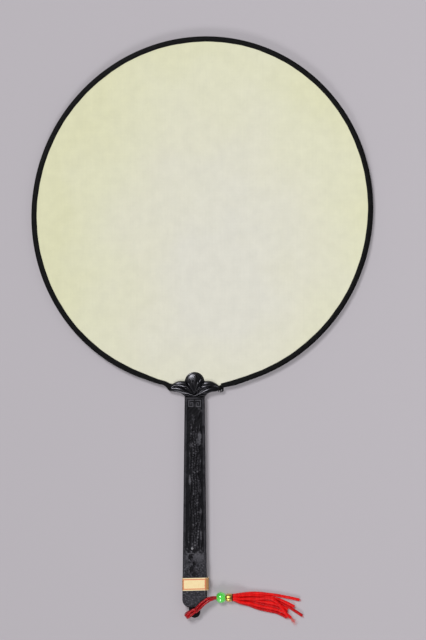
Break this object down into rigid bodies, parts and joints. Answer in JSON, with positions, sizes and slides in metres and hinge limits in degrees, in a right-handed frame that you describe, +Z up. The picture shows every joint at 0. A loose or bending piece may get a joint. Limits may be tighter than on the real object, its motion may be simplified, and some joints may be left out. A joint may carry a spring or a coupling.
{
  "type": "round hand fan",
  "caption": "Round hand fan with a stretched face on a bound oval hoop, a flat black handle with a carved crest, and a red tassel with a green bead and a gilt cap.",
  "frame": {"origin": "on the surface the fan lies on, at the middle of the fan's length and of its face's width, cord and tassel not counted", "axes": "+X to the right seen from the front, +Y along the handle towards the top of the face, +Z up out of the front face"},
  "size_m": [0.2565, 0.441, 0.0109],
  "materials": {
    "leaf": "matt, slightly mottled, close weave",
    "cane": "split cane",
    "tape": "black woven tape",
    "black_moulding": "black, satin, worn on the edges",
    "label": "gummed paper, plain",
    "cord": "twisted dark red cord",
    "strand": "satin red strand",
    "bead": "translucent green, glossy",
    "gilt": "gilt, bright"
  },
  "bodies": {
    "fan": {"front_leaf": "leaf", "back_leaf": "leaf", "hoop": "cane", "edge_binding": "tape", "crest_front": "black_moulding", "crest_back": "black_moulding", "crest_peg_left": "black_moulding", "crest_peg_right": "black_moulding", "handle_front": "black_moulding", "handle_back": "black_moulding", "handle_peg_1": "black_moulding", "handle_peg_2": "black_moulding", "handle_peg_3": "black_moulding", "paper_label": "label", "cord_hitch": "cord"},
    "tassel": {"cord_lead_upper": "cord", "cord_lead_lower": "cord", "tassel_binding": "cord", "gold_cap": "gilt", "strand_1": "strand", "strand_2": "strand", "strand_3": "strand", "strand_4": "strand", "strand_5": "strand", "strand_6": "strand", "strand_7": "strand", "strand_8": "strand"},
    "bead": {"green_bead": "bead"}
  },
  "joints": [
    {"name": "tassel_swing", "type": "hinge", "parent": "fan", "child": "tassel", "pos_m": [-0.0057, -0.2132, 0.0041], "axis": [0, 0, 1], "range_deg": [-126, 2]},
    {"name": "bead_spin", "type": "hinge", "parent": "tassel", "child": "bead", "pos_m": [0.014, -0.2032, 0.0042], "axis": [1, 0, 0], "continuous": true}
  ]
}
